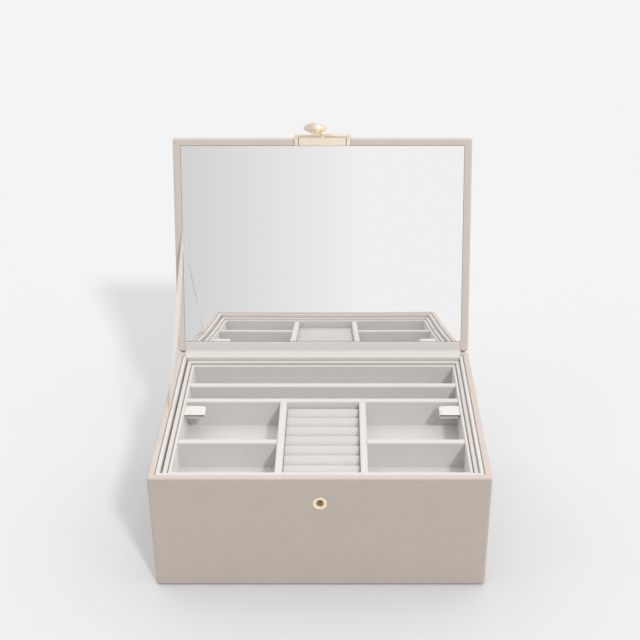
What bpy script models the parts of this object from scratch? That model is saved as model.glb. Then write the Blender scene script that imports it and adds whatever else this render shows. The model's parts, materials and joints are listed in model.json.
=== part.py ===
# Tiered jewellery box: a leather-covered case, a lid with a mirror, and three velvet-covered trays.
# Metres, +Z up, +X to the right, +Y to the back. The origin is on the floor, at the centre of the case.
# The box stands with its lid open on its ribbon stay, and its trays stacked inside.

import math

import bmesh
import bpy
from mathutils import Vector

# Fits that all the pieces share
GAP = 0.0003                    # between pieces that touch
CUT_OVERRUN = 0.0010            # how far a cutter runs past the face that it cuts
SAME_PLACE = 0.0000001          # two points nearer than this are one

# Case
CASE_WIDTH = 0.3000
CASE_DEPTH = 0.2180
CASE_HEIGHT = 0.1200            # floor to the rim
WALL_BOARD = 0.0060
BASE_BOARD = 0.0060
LINING_BOARD = 0.0035
CORNER_RADIUS = 0.0025
LEATHER_EDGE = 0.0012           # rounding of leather-covered edges
VELVET_EDGE = 0.0008            # rounding of velvet-covered edges
FELT = 0.0010
FELT_INSET = 0.0030

# Lid, drawn shut and then turned open about the hinge
LID_OPEN = math.radians(108.3)
RIM_CLEARANCE = 0.0005          # between the shut lid and the case's rim
LID_BOARD = 0.0090
RAIL_HEIGHT = 0.0040
SIDE_RAIL = 0.0076
FRONT_RAIL = 0.0076
HINGE_RAIL = 0.0104
MIRROR = 0.0022
MIRROR_SINK = 0.0005            # the glass lies this far below the rails' faces

# Soft strips over the hinge, and the ribbon that stays the lid
HINGE_CLOTH = 0.0006
CLOTH_DROP = 0.0045             # down the inside of the back lining
SPINE = 0.0008
SPINE_REACH = 0.0100            # onto the back board, and onto the lid's back edge
SPINE_INSET = 0.0030
SPINE_BEND = 0.0030
STAY_WIDTH = 0.0080
STAY_THICKNESS = 0.0004
STAY_ON_LID = 0.1150            # from the hinge to the ribbon's end on the mirror
STAY_ON_CASE = 0.0030           # the ribbon's end on the left wall, behind the middle
STAY_TUCK = 0.0004              # how deep the ribbon's end lies in the seam
STAY_SAG = 0.0040

# Clasp: a strip hinge on the lid's front rail, a hasp, and an eyelet in the case
CLASP_WIDTH = 0.0557
LEAF = 0.0008
KNUCKLE_RADIUS = 0.0017
KNUCKLE_BORE = 0.00075
END_KNUCKLE = 0.0040
CLASP_PIN_RADIUS = 0.0006
HASP_PLATE = 0.0011
HASP_REST = math.radians(5.5)   # how far the hasp stands out of its shut place
HASP_SHOULDER = 0.0050
HASP_NECK = 0.0075              # half width of the neck
HASP_HEAD_RADIUS = 0.0085
BUTTON_STEM = 0.0030
BUTTON_RADIUS = 0.0065
BUTTON_HEIGHT = 0.0100
BUTTON_HALF_WIDTH = 0.0118
BUTTON_OFFSET = 0.0062          # the oval sits to the left of the ball
BALL_NECK = 0.0013
BALL_RADIUS = 0.0020
BALL_REACH = 0.0032             # from the hasp's inner face to the ball's tip
SOCKET_DROP = 0.0267            # below the rim
SOCKET_FLANGE = 0.0066
SOCKET_HOLE = 0.0032
SOCKET_TUBE = 0.0039
SOCKET_PROUD = 0.0008
SOCKET_DEPTH = 0.0054

# Trays
TRAY_RIM_DROP = 0.0040          # the bottom tray's rim, below the case's rim
UPPER_RIM_DROP = 0.0015         # the top tray's rim, below the bottom tray's
TRAY_SHIFT = 0.0006             # the loose trays stand this far to the right
BOTTOM_WALL = 0.0039
BOTTOM_SIDE_PLAY = 0.0010       # beside the bottom tray, on each side
BOTTOM_BACK_PLAY = 0.0014
TRAY_WALL = 0.0028
TRAY_FLOOR = 0.0024
TRAY_SIDE_PLAY = 0.0007         # beside the upper trays, on each side
TRAY_BACK_PLAY = 0.0020
TOP_TRAY_HEIGHT = 0.0305
MIDDLE_TRAY_HEIGHT = 0.0395
TRAY_CORNER = 0.0012
DIVIDER = 0.0066
DIVIDER_DROP = 0.0010           # below the tray's rim
CHANNEL_BACK = 0.0305           # the long compartment at the back
CHANNEL_NEXT = 0.0215           # the long compartment before it
COLUMN_WIDTH = 0.0697           # the middle column, with the ring rolls
COLUMN_SHIFT = 0.0005           # that column stands this far to the right in its tray
FRONT_CELL = 0.0459             # the front compartments of the side columns
MIDDLE_CELL = 0.0750            # the middle tray's front row
MIDDLE_SIDE_CELL = 0.1250
BOTTOM_CELL = 0.0800            # the bottom tray's front row
BOTTOM_SIDE_CELL = 0.1600
LOW_DIVIDER = 0.0050

# Ring rolls
ROLL_COUNT = 7
ROLL_PITCH = 0.01544
ROLL_DROP = 0.0062              # from the tray's rim to the rolls' crowns
ROLL_BULGE = 0.0052             # from crown to crease
ROLL_SLIT = 0.0008
ROLL_SLIT_DEPTH = 0.0065
ROLL_PLAY = 0.0004
ROLL_END_TAPER = 0.0015
ROLL_END_SHRINK = 0.0006

# Pull tabs: ribbon loops on the side walls of the trays that lift out
TAB_WIDTH = 0.0160
TAB_REACH = 0.0191
TAB_THICKNESS = 0.0007
TAB_LOOP = 0.0024               # between the two plies
TAB_DROP = 0.0016               # from the tray's rim to the loop
TAB_SETBACK = 0.0064            # in front of the long divider

ROUND_STEPS = 32
ARC_STEPS = 4
EDGE_STEPS = 2


def linear(hexadecimal):
    """Turns an sRGB hex colour into the linear values that a shader takes."""
    parts = [int(hexadecimal[i:i + 2], 16) / 255 for i in (0, 2, 4)]
    return [c / 12.92 if c <= 0.04045 else ((c + 0.055) / 1.055) ** 2.4 for c in parts]


def finish(name, hexadecimal, roughness, metallic=0.0):
    """A Principled material with one colour."""
    material = bpy.data.materials.new(name)
    material.use_nodes = True
    shader = material.node_tree.nodes["Principled BSDF"]
    shader.inputs["Base Color"].default_value = linear(hexadecimal) + [1.0]
    shader.inputs["Roughness"].default_value = roughness
    shader.inputs["Metallic"].default_value = metallic
    return material


def make_finishes():
    return {
        "leather": finish("taupe_leather", "bdb0a7", 0.55),
        "velvet": finish("grey_velvet", "c9c5c1", 0.95),
        "trim": finish("beige_velvet", "d8cec6", 0.90),
        "cloth": finish("white_lining_cloth", "e6e2df", 0.85),
        "satin": finish("white_satin_ribbon", "f2eeea", 0.45),
        "mirror": finish("silvered_glass", "eef0f0", 0.02, 1.0),
        "card": finish("grey_card", "8a8580", 0.90),
        "felt": finish("dark_felt", "4a4745", 0.95),
        "gold": finish("pale_gold_plate", "e2c79a", 0.22, 1.0),
    }


def axis_empty(name, place, parent=None, turn=0.0):
    """An empty on a joint's axis, which its pieces are parented to."""
    empty = bpy.data.objects.new(name, None)
    empty.empty_display_size = CORNER_RADIUS
    empty.location = place
    empty.rotation_euler = (turn, 0.0, 0.0)
    empty.parent = parent
    bpy.context.collection.objects.link(empty)
    return empty


def add_piece(name, bm, material, carrier=None, pivot=(0.0, 0.0, 0.0), smooth=False):
    """Makes an object of the mesh. Its points are drawn in the shut box's frame, and pivot is its carrier's place."""
    bmesh.ops.translate(bm, verts=bm.verts, vec=-Vector(pivot))
    bmesh.ops.recalc_face_normals(bm, faces=bm.faces)
    if bm.calc_volume(signed=True) < 0:
        bmesh.ops.reverse_faces(bm, faces=bm.faces)
    mesh = bpy.data.meshes.new(name)
    bm.to_mesh(mesh)
    bm.free()
    mesh.materials.append(material)
    if smooth:
        mesh.shade_smooth()
        mesh.set_sharp_from_angle(angle=math.radians(35))
    piece = bpy.data.objects.new(name, mesh)
    piece.parent = carrier
    bpy.context.collection.objects.link(piece)
    return piece


def mark_helper(piece):
    """A cutter or a shape to be joined on: the model leaves it out."""
    piece.hide_render = True
    piece.display_type = 'WIRE'
    return piece


def combine(piece, other, operation):
    modifier = piece.modifiers.new(operation.lower(), 'BOOLEAN')
    modifier.operation = operation
    modifier.solver = 'EXACT'
    modifier.object = mark_helper(other)


def rounded_rectangle(x0, x1, y0, y1, radius):
    """Corner points of a rectangle with round corners, anticlockwise from the front left."""
    points = []
    for cx, cy, start in ((x0 + radius, y0 + radius, 180), (x1 - radius, y0 + radius, 270),
                          (x1 - radius, y1 - radius, 0), (x0 + radius, y1 - radius, 90)):
        for step in range(ARC_STEPS + 1):
            angle = math.radians(start + 90 * step / ARC_STEPS)
            points.append((cx + radius * math.cos(angle), cy + radius * math.sin(angle)))
    return points


def clip(outline, start, end, setback):
    """Keeps the part of a convex outline that lies to the left of start-end, by at least setback."""
    along = Vector((end[0] - start[0], end[1] - start[1])).normalized()
    side = Vector((-along.y, along.x))

    def depth(point):
        return side.dot(Vector((point[0] - start[0], point[1] - start[1]))) - setback

    kept = []
    for k, point in enumerate(outline):
        after = outline[(k + 1) % len(outline)]
        here, there = depth(point), depth(after)
        if here >= 0:
            kept.append(point)
        if (here < 0) != (there < 0):
            share = here / (here - there)
            kept.append(tuple(a + (b - a) * share for a, b in zip(point, after)))
    return [p for k, p in enumerate(kept) if math.dist(p, kept[k - 1]) > SAME_PLACE]


def prism(outline, low, high, edge=0.0, is_round=None):
    """Stands an outline up between two heights, and rounds its top edges where is_round says so."""
    bm = bmesh.new()
    foot = [bm.verts.new((x, y, low)) for x, y in outline]
    head = [bm.verts.new((x, y, high)) for x, y in outline]
    bm.faces.new(foot[::-1])
    bm.faces.new(head)
    count = len(outline)
    for k in range(count):
        n = (k + 1) % count
        bm.faces.new((foot[k], foot[n], head[n], head[k]))
    if edge:
        chosen = []
        for k in range(count):
            n = (k + 1) % count
            if is_round is None or is_round(outline[k], outline[n]):
                chosen.append(bm.edges.get((head[k], head[n])))
        bmesh.ops.bevel(bm, geom=chosen, offset=edge, segments=EDGE_STEPS, profile=0.5, affect='EDGES',
                        clamp_overlap=True)
    return bm


def upside_down(bm, low, high):
    """Turns a prism over in its place, so that its rounded edges point down."""
    for vert in bm.verts:
        vert.co.z = low + high - vert.co.z
    bmesh.ops.reverse_faces(bm, faces=bm.faces)
    return bm


def rectangle(x0, x1, y0, y1):
    return [(x0, y0), (x1, y0), (x1, y1), (x0, y1)]


def mitred_boards(box, widths, radius):
    """Outlines of four boards round a rectangle, mitred at the corners. Widths are front, right, back, left."""
    x0, x1, y0, y1 = box
    outer = rectangle(x0, x1, y0, y1)
    inner = rectangle(x0 + widths[3], x1 - widths[1], y0 + widths[0], y1 - widths[2])
    whole = rounded_rectangle(x0, x1, y0, y1, radius)
    boards = {}
    for k, side in enumerate(("front", "right", "back", "left")):
        n = (k + 1) % 4
        outline = clip(whole, inner[n], inner[k], 0.0)
        outline = clip(outline, inner[k], outer[k], GAP / 2)
        outline = clip(outline, outer[n], inner[n], GAP / 2)
        boards[side] = (outline, (outer[k], inner[k]), (outer[n], inner[n]))
    return boards


def not_on(*lines):
    """Tells whether an outline's edge lies along none of these mitre lines."""
    def test(a, b):
        for start, end in lines:
            along = Vector((end[0] - start[0], end[1] - start[1])).normalized()
            side = Vector((-along.y, along.x))
            reach = [abs(side.dot(Vector((p[0] - start[0], p[1] - start[1])))) for p in (a, b)]
            if max(reach) < GAP:
                return False
        return True
    return test


def ring_of_boards(name, box, widths, low, high, edge, radius, material, carrier=None, pivot=(0.0, 0.0, 0.0),
                   over=False, lower=None, upper=None):
    """Four mitred boards as separate pieces. lower and upper replace low and high for a named side."""
    pieces = {}
    for side, (outline, first, last) in mitred_boards(box, widths, radius).items():
        z0 = (lower or {}).get(side, low)
        z1 = (upper or {}).get(side, high)
        bm = prism(outline, z0, z1, edge, not_on(first, last))
        if over:
            bm = upside_down(bm, z0, z1)
        pieces[side] = add_piece(name.format(side), bm, material, carrier, pivot, smooth=True)
    return pieces


def turned(profile, closed):
    """Turns a profile of radius and height about the Z axis. A closed profile makes a ring."""
    bm = bmesh.new()
    rows = []
    for radius, height in profile:
        if radius < SAME_PLACE:
            rows.append([bm.verts.new((0.0, 0.0, height))])
            continue
        angles = [2 * math.pi * k / ROUND_STEPS for k in range(ROUND_STEPS)]
        rows.append([bm.verts.new((radius * math.cos(a), radius * math.sin(a), height)) for a in angles])
    pairs = list(zip(rows, rows[1:]))
    if closed:
        pairs.append((rows[-1], rows[0]))
    for one, two in pairs:
        for k in range(ROUND_STEPS):
            n = (k + 1) % ROUND_STEPS
            if len(one) == 1:
                bm.faces.new((one[0], two[k], two[n]))
            elif len(two) == 1:
                bm.faces.new((one[k], one[n], two[0]))
            else:
                bm.faces.new((one[k], one[n], two[n], two[k]))
    return bm


def point_axis(bm, direction, place):
    """Turns a mesh's +Z axis into a direction and moves it to its place."""
    turn = Vector((0.0, 0.0, 1.0)).rotation_difference(Vector(direction)).to_matrix()
    bmesh.ops.rotate(bm, verts=bm.verts, cent=(0.0, 0.0, 0.0), matrix=turn)
    bmesh.ops.translate(bm, verts=bm.verts, vec=place)
    return bm


def loft(sections):
    """Joins closed sections with as many points each, and caps both ends."""
    bm = bmesh.new()
    rows = [[bm.verts.new(point) for point in section] for section in sections]
    count = len(rows[0])
    for one, two in zip(rows, rows[1:]):
        for k in range(count):
            n = (k + 1) % count
            bm.faces.new((one[k], one[n], two[n], two[k]))
    bm.faces.new(rows[0][::-1])
    bm.faces.new(rows[-1])
    return bm


def strip(points, across, widths, thickness):
    """A flat strip along points, with a width along the direction across for each point."""
    points = [Vector(p) for p in points]
    sections = []
    for k, point in enumerate(points):
        half = Vector(across).normalized() * widths[k] / 2
        before = points[max(k - 1, 0)]
        after = points[min(k + 1, len(points) - 1)]
        along = (after - before).normalized()
        out = along.cross(half).normalized() * thickness / 2
        sections.append([point - half - out, point + half - out, point + half + out, point - half + out])
    return loft(sections)


def bend(start, corner, end, steps):
    """Points of a smooth bend from start to end, drawn to the corner between them."""
    start, corner, end = Vector(start), Vector(corner), Vector(end)
    points = []
    for k in range(steps + 1):
        t = k / steps
        points.append(start * (1 - t) ** 2 + corner * 2 * t * (1 - t) + end * t ** 2)
    return points


def make_case(looks):
    """The case's walls, linings, base, felt and clasp socket. Returns the inside of the linings."""
    x, y = CASE_WIDTH / 2, CASE_DEPTH / 2
    foot = FELT + GAP
    cloth_room = HINGE_CLOTH + GAP
    walls = ring_of_boards("case_{}_board", (-x, x, -y, y), [WALL_BOARD] * 4, foot, CASE_HEIGHT, LEATHER_EDGE,
                           CORNER_RADIUS, looks["leather"], upper={"back": CASE_HEIGHT - cloth_room})

    x -= WALL_BOARD + GAP
    y -= WALL_BOARD + GAP
    add_piece("case_base_board", prism(rectangle(-x, x, -y, y), foot, foot + BASE_BOARD), looks["leather"])
    base_top = foot + BASE_BOARD
    ring_of_boards("case_{}_lining", (-x, x, -y, y), [LINING_BOARD] * 4, base_top + GAP, CASE_HEIGHT - cloth_room,
                   VELVET_EDGE, TRAY_CORNER, looks["cloth"])

    felt_x, felt_y = CASE_WIDTH / 2 - FELT_INSET, CASE_DEPTH / 2 - FELT_INSET
    felt = prism(rounded_rectangle(-felt_x, felt_x, -felt_y, felt_y, CORNER_RADIUS), 0.0, FELT)
    add_piece("base_felt", felt, looks["felt"])

    make_socket(looks, walls["front"])
    return x - LINING_BOARD, y - LINING_BOARD, base_top


def make_socket(looks, front_board):
    """The brass eyelet in the front board, which the hasp's ball goes into."""
    place = (0.0, -CASE_DEPTH / 2, CASE_HEIGHT - SOCKET_DROP)
    wall = SOCKET_TUBE - SOCKET_HOLE
    flange = [(SOCKET_HOLE, -SOCKET_DEPTH), (SOCKET_TUBE, -SOCKET_DEPTH), (SOCKET_TUBE, GAP),
              (SOCKET_FLANGE, GAP), (SOCKET_FLANGE, SOCKET_PROUD / 2), (SOCKET_FLANGE - wall / 2, SOCKET_PROUD),
              (SOCKET_TUBE + wall / 2, SOCKET_PROUD), (SOCKET_TUBE, SOCKET_PROUD * 3 / 4),
              (SOCKET_HOLE, SOCKET_PROUD / 4)]
    socket = point_axis(turned(flange, closed=True), (0.0, -1.0, 0.0), place)
    add_piece("clasp_socket", socket, looks["gold"], smooth=True)

    bore = SOCKET_TUBE + GAP
    cutter = [(0.0, -WALL_BOARD - CUT_OVERRUN), (bore, -WALL_BOARD - CUT_OVERRUN), (bore, CUT_OVERRUN),
              (0.0, CUT_OVERRUN)]
    cutter = point_axis(turned(cutter, closed=False), (0.0, -1.0, 0.0), place)
    combine(front_board, add_piece("socket_bore_cutter", cutter, looks["gold"]), 'DIFFERENCE')


def make_lid(looks, hinge, pivot):
    """The lid's board, rails, card and mirror, drawn shut. Returns the rails and the height of their faces."""
    x, y = CASE_WIDTH / 2, CASE_DEPTH / 2
    face = CASE_HEIGHT + RIM_CLEARANCE
    rail_top = face + RAIL_HEIGHT
    cloth_room = HINGE_CLOTH + GAP
    rails = ring_of_boards("lid_{}_rail", (-x, x, -y, y), (FRONT_RAIL, SIDE_RAIL, HINGE_RAIL, SIDE_RAIL), face,
                           rail_top, LEATHER_EDGE, CORNER_RADIUS, looks["leather"], hinge, pivot, over=True,
                           lower={"back": face + cloth_room})

    board_low = rail_top + GAP
    board = prism(rounded_rectangle(-x, x, -y, y, CORNER_RADIUS), board_low, board_low + LID_BOARD, LEATHER_EDGE)
    add_piece("lid_board", board, looks["leather"], hinge, pivot, smooth=True)

    inside = rectangle(-x + SIDE_RAIL + GAP, x - SIDE_RAIL - GAP, -y + FRONT_RAIL + GAP, y - HINGE_RAIL - GAP)
    glass_low = face + MIRROR_SINK
    card_low = glass_low + MIRROR + GAP
    add_piece("mirror", prism(inside, glass_low, glass_low + MIRROR), looks["mirror"], hinge, pivot)
    add_piece("mirror_card", prism(inside, card_low, rail_top), looks["card"], hinge, pivot)
    return rails, face


def opened(across, along, above):
    """A point of the lid in the open pose, from x, the distance from the hinge line and the height above it."""
    hinge_z = CASE_HEIGHT + RIM_CLEARANCE / 2
    y = -along * math.cos(LID_OPEN) + above * math.sin(LID_OPEN)
    z = along * math.sin(LID_OPEN) + above * math.cos(LID_OPEN)
    return Vector((across, CASE_DEPTH / 2 + y, hinge_z + z))


def make_hinge_strips(looks, inner_x, inner_y):
    """The lining cloth over the hinge inside, and the leather spine outside, as they lie with the lid open."""
    y = CASE_DEPTH / 2
    inner = GAP + HINGE_CLOTH / 2
    cloth_z = CASE_HEIGHT - HINGE_CLOTH / 2
    depth = RIM_CLEARANCE / 2 + HINGE_CLOTH / 2
    down = inner_y - inner
    soft = HINGE_CLOTH * 2
    path = [(0.0, down, cloth_z - CLOTH_DROP)]
    path += bend((0.0, down, cloth_z - soft), (0.0, down, cloth_z), (0.0, down + soft, cloth_z), ARC_STEPS)
    narrow = len(path)
    path += bend((0.0, y - soft, cloth_z), (0.0, y, cloth_z), opened(0.0, soft, depth), ARC_STEPS)
    path.append(opened(0.0, HINGE_RAIL / 2, depth))
    path.append(opened(0.0, HINGE_RAIL - inner, depth))
    widths = [2 * (inner_x - GAP)] * narrow
    widths += [CASE_WIDTH - 2 * (SIDE_RAIL + GAP)] * (len(path) - narrow)
    add_piece("hinge_lining", strip(path, (1.0, 0.0, 0.0), widths, HINGE_CLOTH), looks["cloth"], smooth=True)

    out = GAP + SPINE / 2
    corner_z = CASE_HEIGHT - out
    path = [(0.0, y + out, CASE_HEIGHT - SPINE_REACH)]
    path += bend((0.0, y + out, corner_z - SPINE_BEND), (0.0, y + out, corner_z),
                 opened(0.0, -out, out + SPINE_BEND), ARC_STEPS)
    path.append(opened(0.0, -out, SPINE_REACH))
    widths = [CASE_WIDTH - 2 * SPINE_INSET] * len(path)
    add_piece("hinge_spine", strip(path, (1.0, 0.0, 0.0), widths, SPINE), looks["leather"], smooth=True)


def make_stay(looks):
    """The ribbon from the mirror's left edge to the seam of the left wall."""
    seam = -CASE_WIDTH / 2 + WALL_BOARD + GAP / 2
    low = Vector((seam, STAY_ON_CASE, CASE_HEIGHT - STAY_TUCK))
    edge = -CASE_WIDTH / 2 + SIDE_RAIL + GAP + STAY_THICKNESS
    glass = RIM_CLEARANCE / 2 + MIRROR_SINK - GAP
    high = opened(edge, STAY_ON_LID, glass)
    seam_line = Vector((0.0, -1.0, 0.0))
    lid_line = opened(0.0, CASE_DEPTH, 0.0) - opened(0.0, 0.0, 0.0)
    chord = (high - low).normalized()
    square = Vector((1.0, 0.0, 0.0)).cross(chord)
    thick = Vector((STAY_THICKNESS / 2, 0.0, 0.0))
    steps = ARC_STEPS * 3
    sections = []
    for k in range(steps + 1):
        t = k / steps
        point = low.lerp(high, t)
        point.z -= STAY_SAG * 4 * t * (1 - t)
        cut = seam_line.lerp(lid_line.normalized(), t)
        half = cut * (STAY_WIDTH / 2 / cut.dot(square))
        sections.append([point - half - thick, point + half - thick, point + half + thick, point - half + thick])
    add_piece("lid_stay_ribbon", loft(sections), looks["satin"], smooth=True)


def barrel(x0, x1, outer, inner, y, z):
    """A knuckle with its bore, along X."""
    profile = [(inner, 0.0), (outer, 0.0), (outer, x1 - x0), (inner, x1 - x0)]
    return point_axis(turned(profile, closed=True), (1.0, 0.0, 0.0), (x0, y, z))


def make_clasp(looks, rails, face, hinge, hinge_pivot):
    """The clasp's plate and pin on the lid, and the hasp with its button and ball, drawn shut."""
    front = -CASE_DEPTH / 2
    axis_y = front - GAP - KNUCKLE_RADIUS
    axis_z = face + LEAF / 2
    half = CLASP_WIDTH / 2
    middle = half - END_KNUCKLE
    gold = looks["gold"]

    ear = axis_y + (KNUCKLE_RADIUS + KNUCKLE_BORE) / 2
    back = front + FRONT_RAIL
    outline = [(-half, back), (-half, ear), (-middle, ear), (-middle, front), (middle, front), (middle, ear),
               (half, ear), (half, back)]
    plate = add_piece("clasp_plate", prism(outline, face, face + LEAF), gold, hinge, hinge_pivot, smooth=True)
    for name, x0, x1 in (("left", -half, -middle), ("right", middle, half)):
        knuckle = barrel(x0, x1, KNUCKLE_RADIUS, KNUCKLE_BORE, axis_y, axis_z)
        combine(plate, add_piece(f"plate_knuckle_{name}", knuckle, gold, hinge, hinge_pivot), 'UNION')

    rod = [(0.0, 0.0), (CLASP_PIN_RADIUS, 0.0), (CLASP_PIN_RADIUS, CLASP_WIDTH), (0.0, CLASP_WIDTH)]
    rod = point_axis(turned(rod, closed=False), (1.0, 0.0, 0.0), (-half, axis_y, axis_z))
    add_piece("clasp_pin", rod, gold, hinge, hinge_pivot, smooth=True)

    pocket = rectangle(-half - GAP, half + GAP, front - CUT_OVERRUN, back + CUT_OVERRUN)
    pocket = add_piece("leaf_pocket_cutter", prism(pocket, face - CUT_OVERRUN, face + LEAF + GAP), gold, hinge,
                       hinge_pivot)
    combine(rails["front"], pocket, 'DIFFERENCE')

    pivot = Vector((0.0, axis_y, axis_z))
    swing = axis_empty("clasp_axis", pivot - Vector(hinge_pivot), hinge, -HASP_REST)
    make_hasp(looks, swing, pivot, middle)


def hasp_outline(reach, middle):
    """The hasp's outline, x and distance below the barrel: shoulders, a neck, and a round head."""
    side = [(middle, (KNUCKLE_RADIUS + KNUCKLE_BORE) / 2), (middle, HASP_SHOULDER)]
    curve = bend((middle, HASP_SHOULDER, 0.0), (HASP_NECK, HASP_SHOULDER, 0.0),
                 (HASP_NECK, reach - HASP_HEAD_RADIUS, 0.0), ARC_STEPS * 2)
    side += [(p.x, p.y) for p in curve[1:]]
    start = math.asin(HASP_NECK / HASP_HEAD_RADIUS)
    for k in range(ARC_STEPS * 2 + 1):
        angle = (math.pi - start) * (1 - k / (ARC_STEPS * 2))
        side.append((HASP_HEAD_RADIUS * math.sin(angle), reach + HASP_HEAD_RADIUS * math.cos(angle)))
    return side


def make_hasp(looks, swing, pivot, middle):
    """The hasp's middle knuckle and tongue, the oval button outside and the ball inside."""
    gold = looks["gold"]
    reach = pivot.z - (CASE_HEIGHT - SOCKET_DROP)
    inner_face = -CASE_DEPTH / 2 - SOCKET_PROUD - GAP
    outer_face = inner_face - HASP_PLATE

    side = hasp_outline(reach, middle - GAP)
    side = [p for k, p in enumerate(side) if k == 0 or math.dist(p, side[k - 1]) > SAME_PLACE]
    outline = side + [(-x, drop) for x, drop in side[::-1] if x > SAME_PLACE]
    plate = prism([(x, -drop) for x, drop in outline][::-1], outer_face, inner_face)
    for vert in plate.verts:
        vert.co = Vector((vert.co.x, vert.co.z, pivot.z + vert.co.y))
    hasp = add_piece("clasp_hasp", plate, gold, swing, pivot, smooth=True)
    knuckle = barrel(-middle + GAP, middle - GAP, KNUCKLE_RADIUS, KNUCKLE_BORE, pivot.y, pivot.z)
    combine(hasp, add_piece("hasp_knuckle", knuckle, gold, swing, pivot), 'UNION')

    wide = BUTTON_HALF_WIDTH / BUTTON_RADIUS
    profile = [(0.0, 0.0), (BUTTON_STEM, 0.0)]
    crown = BUTTON_HEIGHT / 2
    for k in range(ARC_STEPS * 2 + 1):
        angle = math.radians(150 - 150 * k / (ARC_STEPS * 2))
        profile.append((BUTTON_RADIUS * math.sin(angle), BUTTON_HEIGHT - crown + crown * math.cos(angle)))
    profile[-1] = (0.0, BUTTON_HEIGHT)
    button = turned(profile, closed=False)
    bmesh.ops.scale(button, verts=button.verts, vec=(wide, 1.0, 1.0))
    button = point_axis(button, (0.0, -1.0, 0.0), (-BUTTON_OFFSET, outer_face - GAP, pivot.z - reach))
    add_piece("clasp_button", button, gold, swing, pivot, smooth=True)

    profile = [(0.0, 0.0), (BALL_NECK, 0.0)]
    start = math.acos(-math.sqrt(1 - (BALL_NECK / BALL_RADIUS) ** 2))
    for k in range(ARC_STEPS * 2 + 1):
        angle = start * (1 - k / (ARC_STEPS * 2))
        profile.append((BALL_RADIUS * math.sin(angle), BALL_REACH - BALL_RADIUS + BALL_RADIUS * math.cos(angle)))
    profile[-1] = (0.0, BALL_REACH)
    ball = point_axis(turned(profile, closed=False), (0.0, 1.0, 0.0), (0.0, inner_face + GAP, pivot.z - reach))
    add_piece("clasp_ball", ball, gold, swing, pivot, smooth=True)


def make_tray(name, box, wall, low, high, skin, carrier, pivot):
    """A tray's four walls and its floor. Returns the box inside and the floor's top."""
    x0, x1, y0, y1 = box
    ring_of_boards(name + "_{}_wall", box, [wall] * 4, low, high, VELVET_EDGE, TRAY_CORNER, skin, carrier, pivot)
    inside = (x0 + wall, x1 - wall, y0 + wall, y1 - wall)
    floor = rectangle(inside[0] + GAP, inside[1] - GAP, inside[2] + GAP, inside[3] - GAP)
    add_piece(name + "_floor", prism(floor, low, low + TRAY_FLOOR), skin, carrier, pivot)
    return inside, low + TRAY_FLOOR


def make_divider(name, box, low, high, looks, carrier, pivot):
    """A board between compartments. Its ends and its foot keep a gap, and its long top edges are round."""
    x0, x1, y0, y1 = box
    along_x = x1 - x0 > y1 - y0
    if along_x:
        x0, x1 = x0 + GAP, x1 - GAP
    else:
        y0, y1 = y0 + GAP, y1 - GAP

    def is_long(a, b):
        return (abs(a[0] - b[0]) > abs(a[1] - b[1])) == along_x

    bm = prism(rectangle(x0, x1, y0, y1), low + GAP, high, DIVIDER / 5, is_long)
    add_piece(name, bm, looks["velvet"], carrier, pivot, smooth=True)


def make_pull_tabs(name, inside, rim, looks, carrier, pivot):
    """Two ribbon loops, one on each side wall, that stand out over the compartments."""
    place = inside[3] - CHANNEL_BACK - DIVIDER - CHANNEL_NEXT - DIVIDER - TAB_SETBACK - TAB_WIDTH / 2
    radius = TAB_LOOP / 2 + TAB_THICKNESS / 2
    upper = rim - TAB_DROP - TAB_THICKNESS / 2
    lower = upper - 2 * radius
    for side, wall_x, way in (("left", inside[0], 1), ("right", inside[1], -1)):
        root = wall_x + way * GAP
        turn = wall_x + way * (TAB_REACH - radius)
        path = [(root, place, upper)]
        for k in range(ARC_STEPS * 2 + 1):
            angle = math.radians(90 - 180 * k / (ARC_STEPS * 2))
            path.append((turn + way * radius * math.cos(angle), place, upper - radius + radius * math.sin(angle)))
        path.append((root, place, lower))
        loop = strip(path, (0.0, 1.0, 0.0), [TAB_WIDTH] * len(path), TAB_THICKNESS)
        add_piece(f"{name}_{side}_tab", loop, looks["satin"], carrier, pivot, smooth=True)


def make_ring_rolls(box, floor, rim, looks, carrier, pivot):
    """The pad of ring rolls: round crowns from the back, a slit between each two, and what is left in front."""
    x0, x1, y0, y1 = box
    x0, x1, y0, y1 = x0 + ROLL_PLAY, x1 - ROLL_PLAY, y0 + ROLL_PLAY, y1 - ROLL_PLAY
    slits = [y1 - ROLL_PITCH * k for k in range(ROLL_COUNT, 0, -1)]
    crown = rim - ROLL_DROP
    foot = floor + GAP

    def section(x, shrink):
        points = [(x, y1 - shrink, foot), (x, y0 + shrink, foot)]
        crease = crown - shrink - ROLL_BULGE
        starts = [y0 + shrink] + [y + ROLL_SLIT / 2 for y in slits]
        ends = [y - ROLL_SLIT / 2 for y in slits] + [y1 - shrink]
        for k, (start, end) in enumerate(zip(starts, ends)):
            middle, half = (start + end) / 2, (end - start) / 2
            if k:
                points.append((x, start, crease - ROLL_SLIT_DEPTH))
            for step in range(ARC_STEPS * 2 + 1):
                angle = math.pi * (1 - step / (ARC_STEPS * 2))
                points.append((x, middle + half * math.cos(angle), crease + ROLL_BULGE * math.sin(angle)))
            if k < ROLL_COUNT:
                points.append((x, end, crease - ROLL_SLIT_DEPTH))
        return points

    sections = [section(x0, ROLL_END_SHRINK), section(x0 + ROLL_END_TAPER, 0.0),
                section(x1 - ROLL_END_TAPER, 0.0), section(x1, ROLL_END_SHRINK)]
    add_piece("ring_rolls", loft(sections), looks["velvet"], carrier, pivot, smooth=True)


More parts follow.
